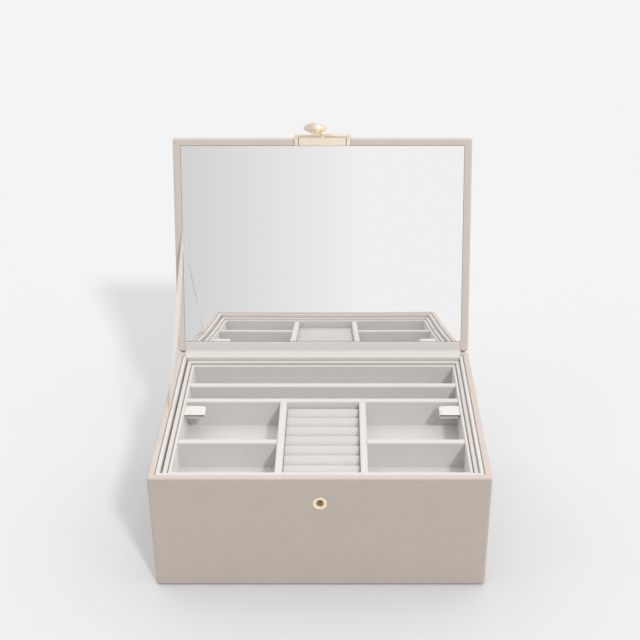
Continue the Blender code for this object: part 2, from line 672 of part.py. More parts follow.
def make_top_tray(box, low, rim, looks, carrier, pivot):
    inside, floor = make_tray("top_tray", box, TRAY_WALL, low, rim, looks["velvet"], carrier, pivot)
    x0, x1, y0, y1 = inside
    top = rim - DIVIDER_DROP
    far = y1 - CHANNEL_BACK
    near = far - DIVIDER - CHANNEL_NEXT
    front = near - DIVIDER
    make_divider("top_tray_back_divider", (x0, x1, far - DIVIDER, far), floor, top, looks, carrier, pivot)
    make_divider("top_tray_long_divider", (x0, x1, front, near), floor, top, looks, carrier, pivot)

    middle = (x0 + x1) / 2 + COLUMN_SHIFT
    left, right = middle - COLUMN_WIDTH / 2, middle + COLUMN_WIDTH / 2
    make_divider("top_tray_left_column", (left - DIVIDER, left, y0, front), floor, top, looks, carrier, pivot)
    make_divider("top_tray_right_column", (right, right + DIVIDER, y0, front), floor, top, looks, carrier, pivot)
    cross = y0 + FRONT_CELL
    make_divider("top_tray_left_cross", (x0, left - DIVIDER, cross, cross + DIVIDER), floor, top, looks, carrier,
                 pivot)
    make_divider("top_tray_right_cross", (right + DIVIDER, x1, cross, cross + DIVIDER), floor, top, looks,
                 carrier, pivot)
    make_ring_rolls((left, right, y0, front), floor, rim, looks, carrier, pivot)
    make_pull_tabs("top_tray", inside, rim, looks, carrier, pivot)


def make_middle_tray(box, low, rim, looks, carrier, pivot):
    inside, floor = make_tray("middle_tray", box, TRAY_WALL, low, rim, looks["velvet"], carrier, pivot)
    x0, x1, y0, y1 = inside
    top = rim - DIVIDER_DROP
    near = y0 + MIDDLE_CELL
    side = x0 + MIDDLE_SIDE_CELL
    make_divider("middle_tray_long_divider", (x0, x1, near, near + LOW_DIVIDER), floor, top, looks, carrier, pivot)
    make_divider("middle_tray_cross_divider", (side, side + LOW_DIVIDER, y0, near), floor, top, looks, carrier,
                 pivot)
    make_pull_tabs("middle_tray", inside, rim, looks, carrier, pivot)


def make_bottom_tray(box, low, rim, divider_top, looks, carrier, pivot):
    inside, floor = make_tray("bottom_tray", box, BOTTOM_WALL, low, rim, looks["trim"], carrier, pivot)
    x0, x1, y0, y1 = inside
    near = y0 + BOTTOM_CELL
    side = x0 + BOTTOM_SIDE_CELL
    make_divider("bottom_tray_long_divider", (x0, x1, near, near + LOW_DIVIDER), floor, divider_top, looks, carrier,
                 pivot)
    make_divider("bottom_tray_cross_divider", (side, side + LOW_DIVIDER, near + LOW_DIVIDER, y1), floor,
                 divider_top, looks, carrier, pivot)
    return inside


def make_trays(looks, inner_x, inner_y, base_top):
    """The bottom tray stands in the case, and the middle and top trays stand on each other inside it."""
    rim = CASE_HEIGHT - TRAY_RIM_DROP
    top_rim = rim - UPPER_RIM_DROP
    bottom_low = base_top + GAP
    top_low = top_rim - TOP_TRAY_HEIGHT
    middle_rim = top_low - GAP
    middle_low = middle_rim - MIDDLE_TRAY_HEIGHT

    side = inner_x - BOTTOM_SIDE_PLAY
    box = (TRAY_SHIFT - side, TRAY_SHIFT + side, -inner_y + GAP, inner_y - BOTTOM_BACK_PLAY)
    bottom_pivot = Vector((0.0, 0.0, bottom_low))
    bottom_lift = axis_empty("bottom_tray_lift", bottom_pivot)
    inside = make_bottom_tray(box, bottom_low, rim, middle_low - GAP, looks, bottom_lift, bottom_pivot)

    x0, x1, y0, y1 = inside
    box = (x0 + TRAY_SIDE_PLAY, x1 - TRAY_SIDE_PLAY, y0 + GAP, y1 - TRAY_BACK_PLAY)
    middle_pivot = Vector((0.0, 0.0, middle_low))
    middle_lift = axis_empty("middle_tray_lift", middle_pivot - bottom_pivot, bottom_lift)
    make_middle_tray(box, middle_low, middle_rim, looks, middle_lift, middle_pivot)

    top_pivot = Vector((0.0, 0.0, top_low))
    top_lift = axis_empty("top_tray_lift", top_pivot - middle_pivot, middle_lift)
    make_top_tray(box, top_low, top_rim, looks, top_lift, top_pivot)


def main():
    for old in list(bpy.data.objects):
        bpy.data.objects.remove(old, do_unlink=True)
    looks = make_finishes()
    inner_x, inner_y, base_top = make_case(looks)
    hinge_pivot = (0.0, CASE_DEPTH / 2, CASE_HEIGHT + RIM_CLEARANCE / 2)
    hinge = axis_empty("lid_axis", hinge_pivot, turn=-LID_OPEN)
    rails, face = make_lid(looks, hinge, hinge_pivot)
    make_hinge_strips(looks, inner_x, inner_y)
    make_stay(looks)
    make_clasp(looks, rails, face, hinge, hinge_pivot)
    make_trays(looks, inner_x, inner_y, base_top)


main()
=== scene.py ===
import json
import math

import bmesh
import bpy
from mathutils import Matrix, Vector, noise


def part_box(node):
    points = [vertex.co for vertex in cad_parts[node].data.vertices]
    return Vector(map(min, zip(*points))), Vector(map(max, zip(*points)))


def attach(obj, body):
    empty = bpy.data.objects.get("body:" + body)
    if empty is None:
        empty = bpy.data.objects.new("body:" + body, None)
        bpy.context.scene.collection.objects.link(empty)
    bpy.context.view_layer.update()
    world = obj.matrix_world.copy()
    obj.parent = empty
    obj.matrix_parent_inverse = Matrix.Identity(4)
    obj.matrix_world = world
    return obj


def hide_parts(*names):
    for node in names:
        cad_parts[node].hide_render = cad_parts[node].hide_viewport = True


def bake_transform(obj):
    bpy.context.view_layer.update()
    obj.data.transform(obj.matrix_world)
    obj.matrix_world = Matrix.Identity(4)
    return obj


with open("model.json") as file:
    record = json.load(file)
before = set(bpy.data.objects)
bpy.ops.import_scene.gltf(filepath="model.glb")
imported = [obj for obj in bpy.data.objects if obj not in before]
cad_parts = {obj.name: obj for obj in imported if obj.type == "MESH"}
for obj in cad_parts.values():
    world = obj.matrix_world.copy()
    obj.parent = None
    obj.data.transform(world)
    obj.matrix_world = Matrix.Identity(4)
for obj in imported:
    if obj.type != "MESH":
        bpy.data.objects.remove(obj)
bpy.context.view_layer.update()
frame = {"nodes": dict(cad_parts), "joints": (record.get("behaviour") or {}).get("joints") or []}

# The looks of a tiered jewellery box: leatherette case and lid, velvet trays, ribbons, mirror and gold clasp.
# Metres, +Z up. The trays stand in the case, and the lid leans back on its ribbon.
nodes = frame["nodes"]
mm = 0.001
hair = 0.05 * mm       # what two covered boards keep between them, so that their seam shows
clearance = 0.3 * mm   # what the frame keeps between two pieces


# Small tools for colours, nodes and meshes

def linearColour(hexColour):
    channels = [int(hexColour[i:i + 2], 16) / 255 for i in (1, 3, 5)]
    return tuple(c / 12.92 if c <= 0.04045 else ((c + 0.055) / 1.055) ** 2.4 for c in channels) + (1.0,)


def addNode(tree, kind, settings=None, inputs=None):
    # an input takes a plain value, or the output socket that feeds it
    node = tree.nodes.new(kind)
    for key, value in (settings or {}).items():
        setattr(node, key, value)
    for key, value in (inputs or {}).items():
        if isinstance(value, bpy.types.NodeSocket):
            tree.links.new(value, node.inputs[key])
        else:
            node.inputs[key].default_value = value
    return node


def emptyMaterial(name):
    material = bpy.data.materials.new(name)
    material.use_nodes = True
    material.node_tree.nodes.clear()
    return material, material.node_tree


def widthOf(name):
    low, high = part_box(name)
    return high.x - low.x


def boxOf(names, turn=None):
    # lowest and highest corner of some nodes, measured after a turn if one is given
    points = [vert.co for name in names for vert in nodes[name].data.vertices]
    if turn:
        points = [turn @ point for point in points]
    low = Vector([min(point[axis] for point in points) for axis in range(3)])
    high = Vector([max(point[axis] for point in points) for axis in range(3)])
    return low, high


def addPiece(name, bm, material, body=None, stands=(), smoothBelow=40, even=True):
    # makes the object, hides the nodes it stands for, and lets it ride on its body
    bmesh.ops.recalc_face_normals(bm, faces=bm.faces)
    mesh = bpy.data.meshes.new(name)
    bm.to_mesh(mesh)
    bm.free()
    mesh.materials.append(material)
    mesh.shade_smooth()
    mesh.set_sharp_from_angle(angle=math.radians(smoothBelow))
    piece = bpy.data.objects.new(name, mesh)
    bpy.context.scene.collection.objects.link(piece)
    if even:  # keeps the light even on a board's large flat faces
        piece.modifiers.new("evenFaces", 'WEIGHTED_NORMAL').keep_sharp = True
    if stands:
        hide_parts(*stands)
    if body:
        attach(piece, body)
    return piece


def grow(box, by):
    x0, x1, y0, y1 = box
    return x0 - by, x1 + by, y0 - by, y1 + by


def roundLoop(box, z, radius, stops=(), steps=6):
    # points round a rectangle with round corners; stops are extra places along its back
    x0, x1, y0, y1 = box
    points = []
    corners = ((x0 + radius, y0 + radius, 180), (x1 - radius, y0 + radius, 270),
               (x1 - radius, y1 - radius, 0), (x0 + radius, y1 - radius, 90))
    for number, (cx, cy, start) in enumerate(corners):
        if number == 3:
            points += [Vector((x, y1, z)) for x in stops]
        for step in range(steps + 1):
            angle = math.radians(start + 90 * step / steps)
            points.append(Vector((cx + radius * math.cos(angle), cy + radius * math.sin(angle), z)))
    return points


def sweepLoops(loops, closed):
    # skins a row of loops: closed joins the last to the first, otherwise both ends are filled
    bm = bmesh.new()
    rows = [[bm.verts.new(point) for point in loop] for loop in loops]
    pairs = list(zip(rows, rows[1:]))
    if closed:
        pairs.append((rows[-1], rows[0]))
    for one, two in pairs:
        for k in range(len(one)):
            n = (k + 1) % len(one)
            bm.faces.new((one[k], one[n], two[n], two[k]))
    if not closed:
        bm.faces.new(rows[0][::-1])
        bm.faces.new(rows[-1])
    return bm


def overTheTop(top, wall, outerRound, innerRound, steps=5):
    # insets and heights of a wall's top, from its outer face over to its inner face
    turns = [math.pi / 2 * k / steps for k in range(steps + 1)]
    outside = [(outerRound * (1 - math.cos(a)), top - outerRound * (1 - math.sin(a))) for a in turns]
    inside = [(wall - innerRound * (1 - math.sin(a)), top - innerRound * (1 - math.cos(a))) for a in turns]
    return outside + inside


def cutOut(piece, cutter):
    # cuts the shape away for good, and takes the cutter off the scene
    cut = piece.modifiers.new("cut", 'BOOLEAN')
    cut.operation = 'DIFFERENCE'
    cut.solver = 'EXACT'
    cut.object = cutter
    others = [m for m in piece.modifiers if m != cut]
    for modifier in others:
        modifier.show_viewport = False
    bpy.context.view_layer.update()
    evaluated = piece.evaluated_get(bpy.context.evaluated_depsgraph_get())
    piece.data = bpy.data.meshes.new_from_object(evaluated)
    piece.modifiers.remove(cut)
    for modifier in others:
        modifier.show_viewport = True
    bpy.data.objects.remove(cutter)


def cutterFrom(bm):
    bmesh.ops.recalc_face_normals(bm, faces=bm.faces)
    mesh = bpy.data.meshes.new("cutter")
    bm.to_mesh(mesh)
    bm.free()
    cutter = bpy.data.objects.new("cutter", mesh)
    bpy.context.scene.collection.objects.link(cutter)
    return cutter


def blockMesh(centre, size, turn=Matrix.Identity(4)):
    # a box of that size about its centre, turned last
    bm = bmesh.new()
    bmesh.ops.create_cube(bm, size=1.0)
    place = turn @ Matrix.Translation(centre) @ Matrix.Diagonal((*size, 1))
    bmesh.ops.transform(bm, verts=bm.verts, matrix=place)
    return bm


def stripMesh(path, side, widths, thick, columns, ripple=None):
    # a thin strip that runs along the path and is flat to the side; ripple lifts it at (along, across)
    bm = bmesh.new()
    edgeThin = 0.45    # its long edges have this share of its thickness
    faceRows = []
    for k, point in enumerate(path):
        along = (path[min(k + 1, len(path) - 1)] - path[max(k - 1, 0)]).normalized()
        out = along.cross(side).normalized()
        upper, lower = [], []
        for column in range(columns + 1):
            share = 2 * column / columns - 1
            lift = ripple(k / (len(path) - 1), share) if ripple else 0.0
            half = thick / 2 * (edgeThin if column in (0, columns) else 1.0)
            middle = point + side * (widths[k] / 2 * share) + out * lift
            upper.append(bm.verts.new(middle + out * half))
            lower.append(bm.verts.new(middle - out * half))
        faceRows.append((upper, lower))
    for (upA, lowA), (upB, lowB) in zip(faceRows, faceRows[1:]):
        for c in range(columns):
            bm.faces.new((upA[c], upA[c + 1], upB[c + 1], upB[c]))
            bm.faces.new((lowA[c], lowB[c], lowB[c + 1], lowA[c + 1]))
        bm.faces.new((upA[0], upB[0], lowB[0], lowA[0]))
        bm.faces.new((upA[-1], lowA[-1], lowB[-1], upB[-1]))
    for upper, lower in (faceRows[0], faceRows[-1]):
        for c in range(columns):
            bm.faces.new((upper[c], lower[c], lower[c + 1], upper[c + 1]))
    return bm


def bend(start, corner, end, steps):
    return [start * (1 - t) ** 2 + corner * 2 * t * (1 - t) + end * t ** 2
            for t in (k / steps for k in range(steps + 1))]


# Camera: the photograph's view, worked out from the corners of the case and the lid

camera = {
    "lens": 63.81,             # mm
    "sensor": 36,
    "place": (0.01844, -0.90480, 0.70931),
    "lookDown": 28.565,        # degrees below level
    "shift": -0.0326,          # the photograph is cropped a little to the left of the lens's middle
}
lens = bpy.data.cameras.new("studioCamera")
lens.lens = camera["lens"]
lens.sensor_width = camera["sensor"]
lens.shift_x = camera["shift"]
tripod = bpy.data.objects.new("studioCamera", lens)
tripod.location = camera["place"]
tripod.rotation_euler = (math.radians(90 - camera["lookDown"]), 0, 0)
bpy.context.scene.collection.objects.link(tripod)
bpy.context.scene.camera = tripod
bpy.context.scene.view_settings.view_transform = 'Standard'
print("camera set")


# Studio: a weak, soft key from the front right, a dome that is brightest behind and beside, and a pale floor

studio = {
    "keyFrom": (0.347, -0.658, 0.669),   # towards the key, read off the lid's shadow
    "keyStrength": 1.2,
    "keySize": 6.0,                      # degrees across, which softens the shadow
    "domeFront": 0.05,                   # the dome's light from the camera's side, and from behind
    "domeBack": 1.05,
    "domeBeside": 0.5,                   # what the walls at both sides add, and the wide softbox overhead
    "domeAbove": 1.0,
    "domeAboveTight": 4.0,               # how closely that softbox keeps overhead
    "paper": "#f4f4f5",
    "floorTone": "#d5d5d6",              # as the camera sees it
    "floorBounce": "#b8b8b8",            # as it lights the box
    "wallLeft": "#d7d7d7",               # what glass and gold see to the left, and to the right
    "wallRight": "#f8f8f8",
    "wallsMeet": (-0.23, 0.05),          # the stretch over which the one goes into the other
    "floorHalf": 8.0,
}


def setLights():
    key = bpy.data.lights.new("keyLight", 'SUN')
    key.energy = studio["keyStrength"]
    key.angle = math.radians(studio["keySize"])
    lamp = bpy.data.objects.new("keyLight", key)
    lamp.rotation_euler = Vector(studio["keyFrom"]).to_track_quat('Z', 'Y').to_euler()
    bpy.context.scene.collection.objects.link(lamp)

    world = bpy.data.worlds.new("studio")
    bpy.context.scene.world = world
    world.use_nodes = True
    tree = world.node_tree
    tree.nodes.clear()
    ray = addNode(tree, "ShaderNodeLightPath").outputs
    direction = addNode(tree, "ShaderNodeTexCoord").outputs["Generated"]
    ways = addNode(tree, "ShaderNodeSeparateXYZ", inputs={"Vector": direction}).outputs
    meetLeft, meetRight = studio["wallsMeet"]
    share = addNode(tree, "ShaderNodeMapRange",
                    inputs={"Value": ways["X"], "From Min": meetLeft, "From Max": meetRight})
    walls = addNode(tree, "ShaderNodeMix", {"data_type": 'RGBA'},
                    {0: share.outputs["Result"], 6: linearColour(studio["wallLeft"]),
                     7: linearColour(studio["wallRight"])})
    depth = addNode(tree, "ShaderNodeMapRange",
                    inputs={"Value": ways["Y"], "From Min": -1.0, "To Min": studio["domeFront"],
                            "To Max": studio["domeBack"]})
    beside = addNode(tree, "ShaderNodeMath", {"operation": 'ABSOLUTE'}, {0: ways["X"]})
    sides = addNode(tree, "ShaderNodeMath", {"operation": 'MULTIPLY_ADD'},
                    {0: beside.outputs[0], 1: studio["domeBeside"], 2: depth.outputs["Result"]})
    overhead = addNode(tree, "ShaderNodeMath", {"operation": 'POWER', "use_clamp": True},
                       {0: ways["Z"], 1: studio["domeAboveTight"]})
    strength = addNode(tree, "ShaderNodeMath", {"operation": 'MULTIPLY_ADD'},
                       {0: overhead.outputs[0], 1: studio["domeAbove"], 2: sides.outputs[0]})
    dome = addNode(tree, "ShaderNodeBackground",
                   inputs={"Color": (1, 1, 1, 1), "Strength": strength.outputs[0]})
    seen = addNode(tree, "ShaderNodeBackground", inputs={"Color": linearColour(studio["paper"])})
    mirrored = addNode(tree, "ShaderNodeBackground", inputs={"Color": walls.outputs[2]})
    glossy = addNode(tree, "ShaderNodeMixShader",
                     inputs={0: ray["Is Glossy Ray"], 1: dome.outputs[0], 2: mirrored.outputs[0]})
    through = addNode(tree, "ShaderNodeMath", {"operation": 'MAXIMUM'},
                      {0: ray["Is Camera Ray"], 1: ray["Is Transmission Ray"]})
    whole = addNode(tree, "ShaderNodeMixShader",
                    inputs={0: through.outputs[0], 1: glossy.outputs[0], 2: seen.outputs[0]})
    addNode(tree, "ShaderNodeOutputWorld", inputs={"Surface": whole.outputs[0]})


def layFloor():
    bm = bmesh.new()
    bmesh.ops.create_grid(bm, x_segments=4, y_segments=4, size=studio["floorHalf"])
    mesh = bpy.data.meshes.new("floor")
    bm.to_mesh(mesh)
    bm.free()
    material, tree = emptyMaterial("paperFloor")
    ray = addNode(tree, "ShaderNodeLightPath").outputs
    lit = addNode(tree, "ShaderNodeBsdfDiffuse", inputs={"Color": linearColour(studio["floorTone"])})
    bounce = addNode(tree, "ShaderNodeBsdfDiffuse", inputs={"Color": linearColour(studio["floorBounce"])})
    clear = addNode(tree, "ShaderNodeBsdfTransparent")
    shown = addNode(tree, "ShaderNodeMixShader",
                    inputs={0: ray["Is Camera Ray"], 1: bounce.outputs[0], 2: lit.outputs[0]})
    whole = addNode(tree, "ShaderNodeMixShader",
                    inputs={0: ray["Is Glossy Ray"], 1: shown.outputs[0], 2: clear.outputs[0]})
    addNode(tree, "ShaderNodeOutputMaterial", inputs={"Surface": whole.outputs[0]})
    mesh.materials.append(material)
    floor = bpy.data.objects.new("floor", mesh)
    bpy.context.scene.collection.objects.link(floor)


setLights()
layFloor()
print("studio lit")


# Materials

leatherette = {
    "name": "embossedLeatherette",
    "colour": "#cec2b9",
    "hollow": "#bdb1a8",       # the same skin in the creases of its grain
    "grain": 1.3 * mm,         # real pebbles are about 0.5 mm, drawn coarser so that they show
    "relief": 0.05 * mm,
    "mottle": 22 * mm,
    "roughness": 0.55,
}
# the lid's skin: the case's leatherette painted a shade paler, as painted light for the light that falls on
# the lid
lidSkinLookPaintedLit = dict(leatherette, name="embossedLeatherettePaintedLit", colour="#d5cbc3", hollow="#c4bab1")


def makeLeatherette(look):
    # PU leatherette on cloth, embossed by a roller and matt lacquered: even taupe, fine pebbles, a dull sheen
    material, tree = emptyMaterial(look["name"])
    place = addNode(tree, "ShaderNodeTexCoord").outputs["Object"]
    pebbles = addNode(tree, "ShaderNodeTexVoronoi", {"feature": 'SMOOTH_F1'},
                      {"Vector": place, "Scale": 1 / look["grain"], "Smoothness": 0.6})
    pores = addNode(tree, "ShaderNodeTexNoise",
                    inputs={"Vector": place, "Scale": 2.2 / look["grain"], "Detail": 3.0})
    mottle = addNode(tree, "ShaderNodeTexNoise",
                     inputs={"Vector": place, "Scale": 1 / look["mottle"], "Detail": 2.0})
    depth = addNode(tree, "ShaderNodeMapRange",
                    inputs={"Value": pebbles.outputs["Distance"], "From Min": 0.1, "From Max": 0.75})
    blotch = addNode(tree, "ShaderNodeMapRange",
                     inputs={"Value": mottle.outputs["Fac"], "From Min": 0.3, "From Max": 0.7,
                             "To Min": 0.0, "To Max": 0.18})
    share = addNode(tree, "ShaderNodeMath", {"operation": 'MULTIPLY_ADD'},
                    {0: depth.outputs["Result"], 1: 0.35, 2: blotch.outputs["Result"]})
    skin = addNode(tree, "ShaderNodeMix", {"data_type": 'RGBA'},
                   {0: share.outputs[0], 6: linearColour(look["colour"]),
                    7: linearColour(look["hollow"])})
    height = addNode(tree, "ShaderNodeMath", {"operation": 'MULTIPLY_ADD'},
                     {0: pores.outputs["Fac"], 1: 0.35, 2: pebbles.outputs["Distance"]})
    relief = addNode(tree, "ShaderNodeBump", {"invert": True},
                     {"Height": height.outputs[0], "Distance": look["relief"], "Strength": 0.8})
    shine = addNode(tree, "ShaderNodeMapRange",
                    inputs={"Value": pores.outputs["Fac"], "To Min": look["roughness"] - 0.05,
                            "To Max": look["roughness"] + 0.07})
    skinShader = addNode(tree, "ShaderNodeBsdfPrincipled",
                         inputs={"Base Color": skin.outputs[2], "Roughness": shine.outputs["Result"],
                                 "Normal": relief.outputs["Normal"], "IOR": 1.46, "Specular IOR Level": 0.4})
    addNode(tree, "ShaderNodeOutputMaterial", inputs={"Surface": skinShader.outputs[0]})
    return material


greyVelvet = {
    "name": "flockedGreyVelvet",
    "colour": "#d8d5d2",
    "shade": "#c9c5c2",
    "pile": 0.9 * mm,          # the pile itself is 0.3 mm, drawn coarser so that its nap shows
    "relief": 0.09 * mm,
    "brushing": 9 * mm,
    "roughness": 0.95,
    "sheen": 0.4,
}
beigeVelvet = dict(greyVelvet, name="flockedBeigeVelvet", colour="#d6d0ca", shade="#c8c1ba")
# the rolls' velvet: the trays' grey velvet, drawn a tone darker
rollVelvet = dict(greyVelvet, name="darkerGreyRollVelvet", colour="#cdcac8", shade="#bebbb9")


def makeVelvet(look):
    # nylon flock glued upright: no shine, a soft glow where it is seen edge on, clouds where it was brushed
    material, tree = emptyMaterial(look["name"])
    place = addNode(tree, "ShaderNodeTexCoord").outputs["Object"]
    pile = addNode(tree, "ShaderNodeTexNoise",
                   inputs={"Vector": place, "Scale": 1 / look["pile"], "Detail": 4.0, "Roughness": 0.7})
    brushing = addNode(tree, "ShaderNodeTexNoise",
                       inputs={"Vector": place, "Scale": 1 / look["brushing"], "Detail": 2.0,
                               "Distortion": 0.6})
    nap = addNode(tree, "ShaderNodeMapRange",
                  inputs={"Value": pile.outputs["Fac"], "From Min": 0.3, "From Max": 0.7, "To Max": 0.45})
    share = addNode(tree, "ShaderNodeMath", {"operation": 'MULTIPLY_ADD'},
                    {0: brushing.outputs["Fac"], 1: 0.35, 2: nap.outputs["Result"]})
    colour = addNode(tree, "ShaderNodeMix", {"data_type": 'RGBA'},
                     {0: share.outputs[0], 6: linearColour(look["colour"]), 7: linearColour(look["shade"])})
    relief = addNode(tree, "ShaderNodeBump",
                     inputs={"Height": pile.outputs["Fac"], "Distance": look["relief"], "Strength": 0.6})
    velvetShader = addNode(tree, "ShaderNodeBsdfPrincipled",
                           inputs={"Base Color": colour.outputs[2], "Roughness": look["roughness"],
                                   "Specular IOR Level": 0.1, "Normal": relief.outputs["Normal"],
                                   "Sheen Weight": look["sheen"], "Sheen Roughness": 0.5})
    addNode(tree, "ShaderNodeOutputMaterial", inputs={"Surface": velvetShader.outputs[0]})
    return material


def bandScale(spacing):
    # a wave texture repeats once in 2 pi / 20 of its scaled length
    return 2 * math.pi / 20 / spacing


liningCloth = {
    "colour": "#d8d4d1",
    "thread": "#c8c3bf",
    "threadSpacing": 1.579 * mm,   # woven at 0.4 mm, drawn four times as coarse so that the weave shows
    "relief": 0.05 * mm,
    "roughness": 0.85,
}


def makeLiningCloth():
    # plain-woven polyester bookcloth: off-white, a faint grid of threads, hardly any shine
    material, tree = emptyMaterial("plainWovenLining")
    place = addNode(tree, "ShaderNodeTexCoord").outputs["Object"]
    scale = bandScale(liningCloth["threadSpacing"])
    weft = addNode(tree, "ShaderNodeTexWave", {"bands_direction": 'X'},
                   {"Vector": place, "Scale": scale, "Distortion": 0.4, "Detail": 1.0})
    warp = addNode(tree, "ShaderNodeTexWave", {"bands_direction": 'DIAGONAL'},
                   {"Vector": place, "Scale": scale, "Distortion": 0.4, "Detail": 1.0})
    grid = addNode(tree, "ShaderNodeMath", {"operation": 'MULTIPLY'},
                   {0: weft.outputs["Fac"], 1: warp.outputs["Fac"]})
    colour = addNode(tree, "ShaderNodeMix", {"data_type": 'RGBA'},
                     {0: grid.outputs[0], 6: linearColour(liningCloth["colour"]),
                      7: linearColour(liningCloth["thread"])})
    relief = addNode(tree, "ShaderNodeBump",
                     inputs={"Height": grid.outputs[0], "Distance": liningCloth["relief"], "Strength": 0.6})
    clothShader = addNode(tree, "ShaderNodeBsdfPrincipled",
                          inputs={"Base Color": colour.outputs[2], "Roughness": liningCloth["roughness"],
                                  "Specular IOR Level": 0.2, "Normal": relief.outputs["Normal"],
                                  "Sheen Weight": 0.08, "Sheen Roughness": 0.4})
    addNode(tree, "ShaderNodeOutputMaterial", inputs={"Surface": clothShader.outputs[0]})
    return material


satinRibbon = {
    "colour": "#e4dfdb",
    "shadow": "#d5d0cb",
    "ribSpacing": 1.382 * mm,  # floats of 0.3 mm, drawn coarser
    "relief": 0.03 * mm,
    "roughness": 0.38,
}


def makeSatin():
    # polyester satin ribbon with woven edges: white, long floats that catch the light in soft bands
    material, tree = emptyMaterial("satinRibbon")
    place = addNode(tree, "ShaderNodeTexCoord").outputs["Object"]
    floats = addNode(tree, "ShaderNodeTexWave", {"bands_direction": 'Y'},
                     {"Vector": place, "Scale": bandScale(satinRibbon["ribSpacing"]), "Distortion": 0.8,
                      "Detail": 2.0})
    colour = addNode(tree, "ShaderNodeMix", {"data_type": 'RGBA'},
                     {0: floats.outputs["Fac"], 6: linearColour(satinRibbon["colour"]),
                      7: linearColour(satinRibbon["shadow"])})
    relief = addNode(tree, "ShaderNodeBump",
                     inputs={"Height": floats.outputs["Fac"], "Distance": satinRibbon["relief"],
                             "Strength": 0.5})
    satinShader = addNode(tree, "ShaderNodeBsdfPrincipled",
                          inputs={"Base Color": colour.outputs[2], "Roughness": satinRibbon["roughness"],
                                  "Normal": relief.outputs["Normal"], "Sheen Weight": 0.1})
    addNode(tree, "ShaderNodeOutputMaterial", inputs={"Surface": satinShader.outputs[0]})
    return material


mirrorGlass = {
    "colour": "#f6f6f6",
    "haze": 0.012,
    "hazeScale": 30.0,
    "lowLean": 8.5,            # degrees by which the glass reflects as if it stood steeper, low and high up
    "highLean": 9.2,
    "lowAt": 0.1358,           # the heights of those two leans
    "highAt": 0.1650,
    "bow": 0.28,               # radians for each metre aside, as if it were bowed; this narrows the picture
    "bowShift": 0.002,
}


def makeMirror():
    # silvered float glass: a clear picture with the least haze. Its faces stay flat, and only the way it
    # reflects is turned to fit the photograph's picture in it. What turns that in the real one isn't known
    material, tree = emptyMaterial("silveredFloatGlass")
    place = addNode(tree, "ShaderNodeTexCoord").outputs["Object"]
    facing = addNode(tree, "ShaderNodeNewGeometry").outputs["Normal"]
    spot = addNode(tree, "ShaderNodeSeparateXYZ", inputs={"Vector": place}).outputs
    lean = addNode(tree, "ShaderNodeMapRange",
                   inputs={"Value": spot["Z"], "From Min": mirrorGlass["lowAt"],
                           "From Max": mirrorGlass["highAt"],
                           "To Min": math.radians(mirrorGlass["lowLean"]),
                           "To Max": math.radians(mirrorGlass["highLean"])})
    steeper = addNode(tree, "ShaderNodeVectorRotate", {"rotation_type": 'X_AXIS'},
                      {"Vector": facing, "Angle": lean.outputs["Result"]})
    aside = addNode(tree, "ShaderNodeMath", {"operation": 'MULTIPLY_ADD'},
                    {0: spot["X"], 1: mirrorGlass["bow"], 2: mirrorGlass["bowShift"]})
    bowed = addNode(tree, "ShaderNodeVectorRotate", {"rotation_type": 'Z_AXIS'},
                    {"Vector": steeper.outputs["Vector"], "Angle": aside.outputs[0]})
    film = addNode(tree, "ShaderNodeTexNoise",
                   inputs={"Vector": place, "Scale": mirrorGlass["hazeScale"], "Detail": 2.0})
    haze = addNode(tree, "ShaderNodeMapRange",
                   inputs={"Value": film.outputs["Fac"], "To Min": 0.0, "To Max": mirrorGlass["haze"]})
    glassShader = addNode(tree, "ShaderNodeBsdfPrincipled",
                          inputs={"Base Color": linearColour(mirrorGlass["colour"]), "Metallic": 1.0,
                                  "Roughness": haze.outputs["Result"], "Normal": bowed.outputs["Vector"]})
    addNode(tree, "ShaderNodeOutputMaterial", inputs={"Surface": glassShader.outputs[0]})
    return material


goldPlate = {
    "name": "polishedPaleGold",
    "colour": "#fbead2",
    "worn": "#fef2e2",
    "polish": 0.13,
    "wave": 3 * mm,
    "relief": 0.02 * mm,
    "scratch": 0.5 * mm,
}
eyeletGold = dict(goldPlate, name="stampedEyeletGold", colour="#feecc6", worn="#fff2d6")


def makeGold(look):
    # cast or stamped, polished and plated in pale gold: crisp reflections, a slight wave, fine wear
    material, tree = emptyMaterial(look["name"])
    place = addNode(tree, "ShaderNodeTexCoord").outputs["Object"]
    wave = addNode(tree, "ShaderNodeTexNoise",
                   inputs={"Vector": place, "Scale": 1 / look["wave"], "Detail": 2.0})
    scratches = addNode(tree, "ShaderNodeTexNoise",
                        inputs={"Vector": place, "Scale": 1 / look["scratch"], "Detail": 4.0,
                                "Roughness": 0.8})
    colour = addNode(tree, "ShaderNodeMix", {"data_type": 'RGBA'},
                     {0: wave.outputs["Fac"], 6: linearColour(look["colour"]),
                      7: linearColour(look["worn"])})
    shine = addNode(tree, "ShaderNodeMapRange",
                    inputs={"Value": scratches.outputs["Fac"], "To Min": look["polish"] - 0.06,
                            "To Max": look["polish"] + 0.1})
    relief = addNode(tree, "ShaderNodeBump",
                     inputs={"Height": wave.outputs["Fac"], "Distance": look["relief"], "Strength": 0.4})
    goldShader = addNode(tree, "ShaderNodeBsdfPrincipled",
                         inputs={"Base Color": colour.outputs[2], "Metallic": 1.0,
                                 "Roughness": shine.outputs["Result"], "Normal": relief.outputs["Normal"]})
    addNode(tree, "ShaderNodeOutputMaterial", inputs={"Surface": goldShader.outputs[0]})
    return material


mattFinishes = {                 # colour, fleck, the fleck's size and the roughness
    "recycledGreyboard": ("#8d8883", "#7a756f", 1.5 * mm, 0.9),
    "needledFelt": ("#4d4a48", "#3a3836", 0.8 * mm, 1.0),
    # painted shade: a dark matt finish laid in the clasp's seams, where the gaps between its knuckles are
    # shaded
    "paintedSeamShade": ("#5b4d3c", "#463a2d", 0.5 * mm, 0.9),
}
fleckRelief = 0.1 * mm


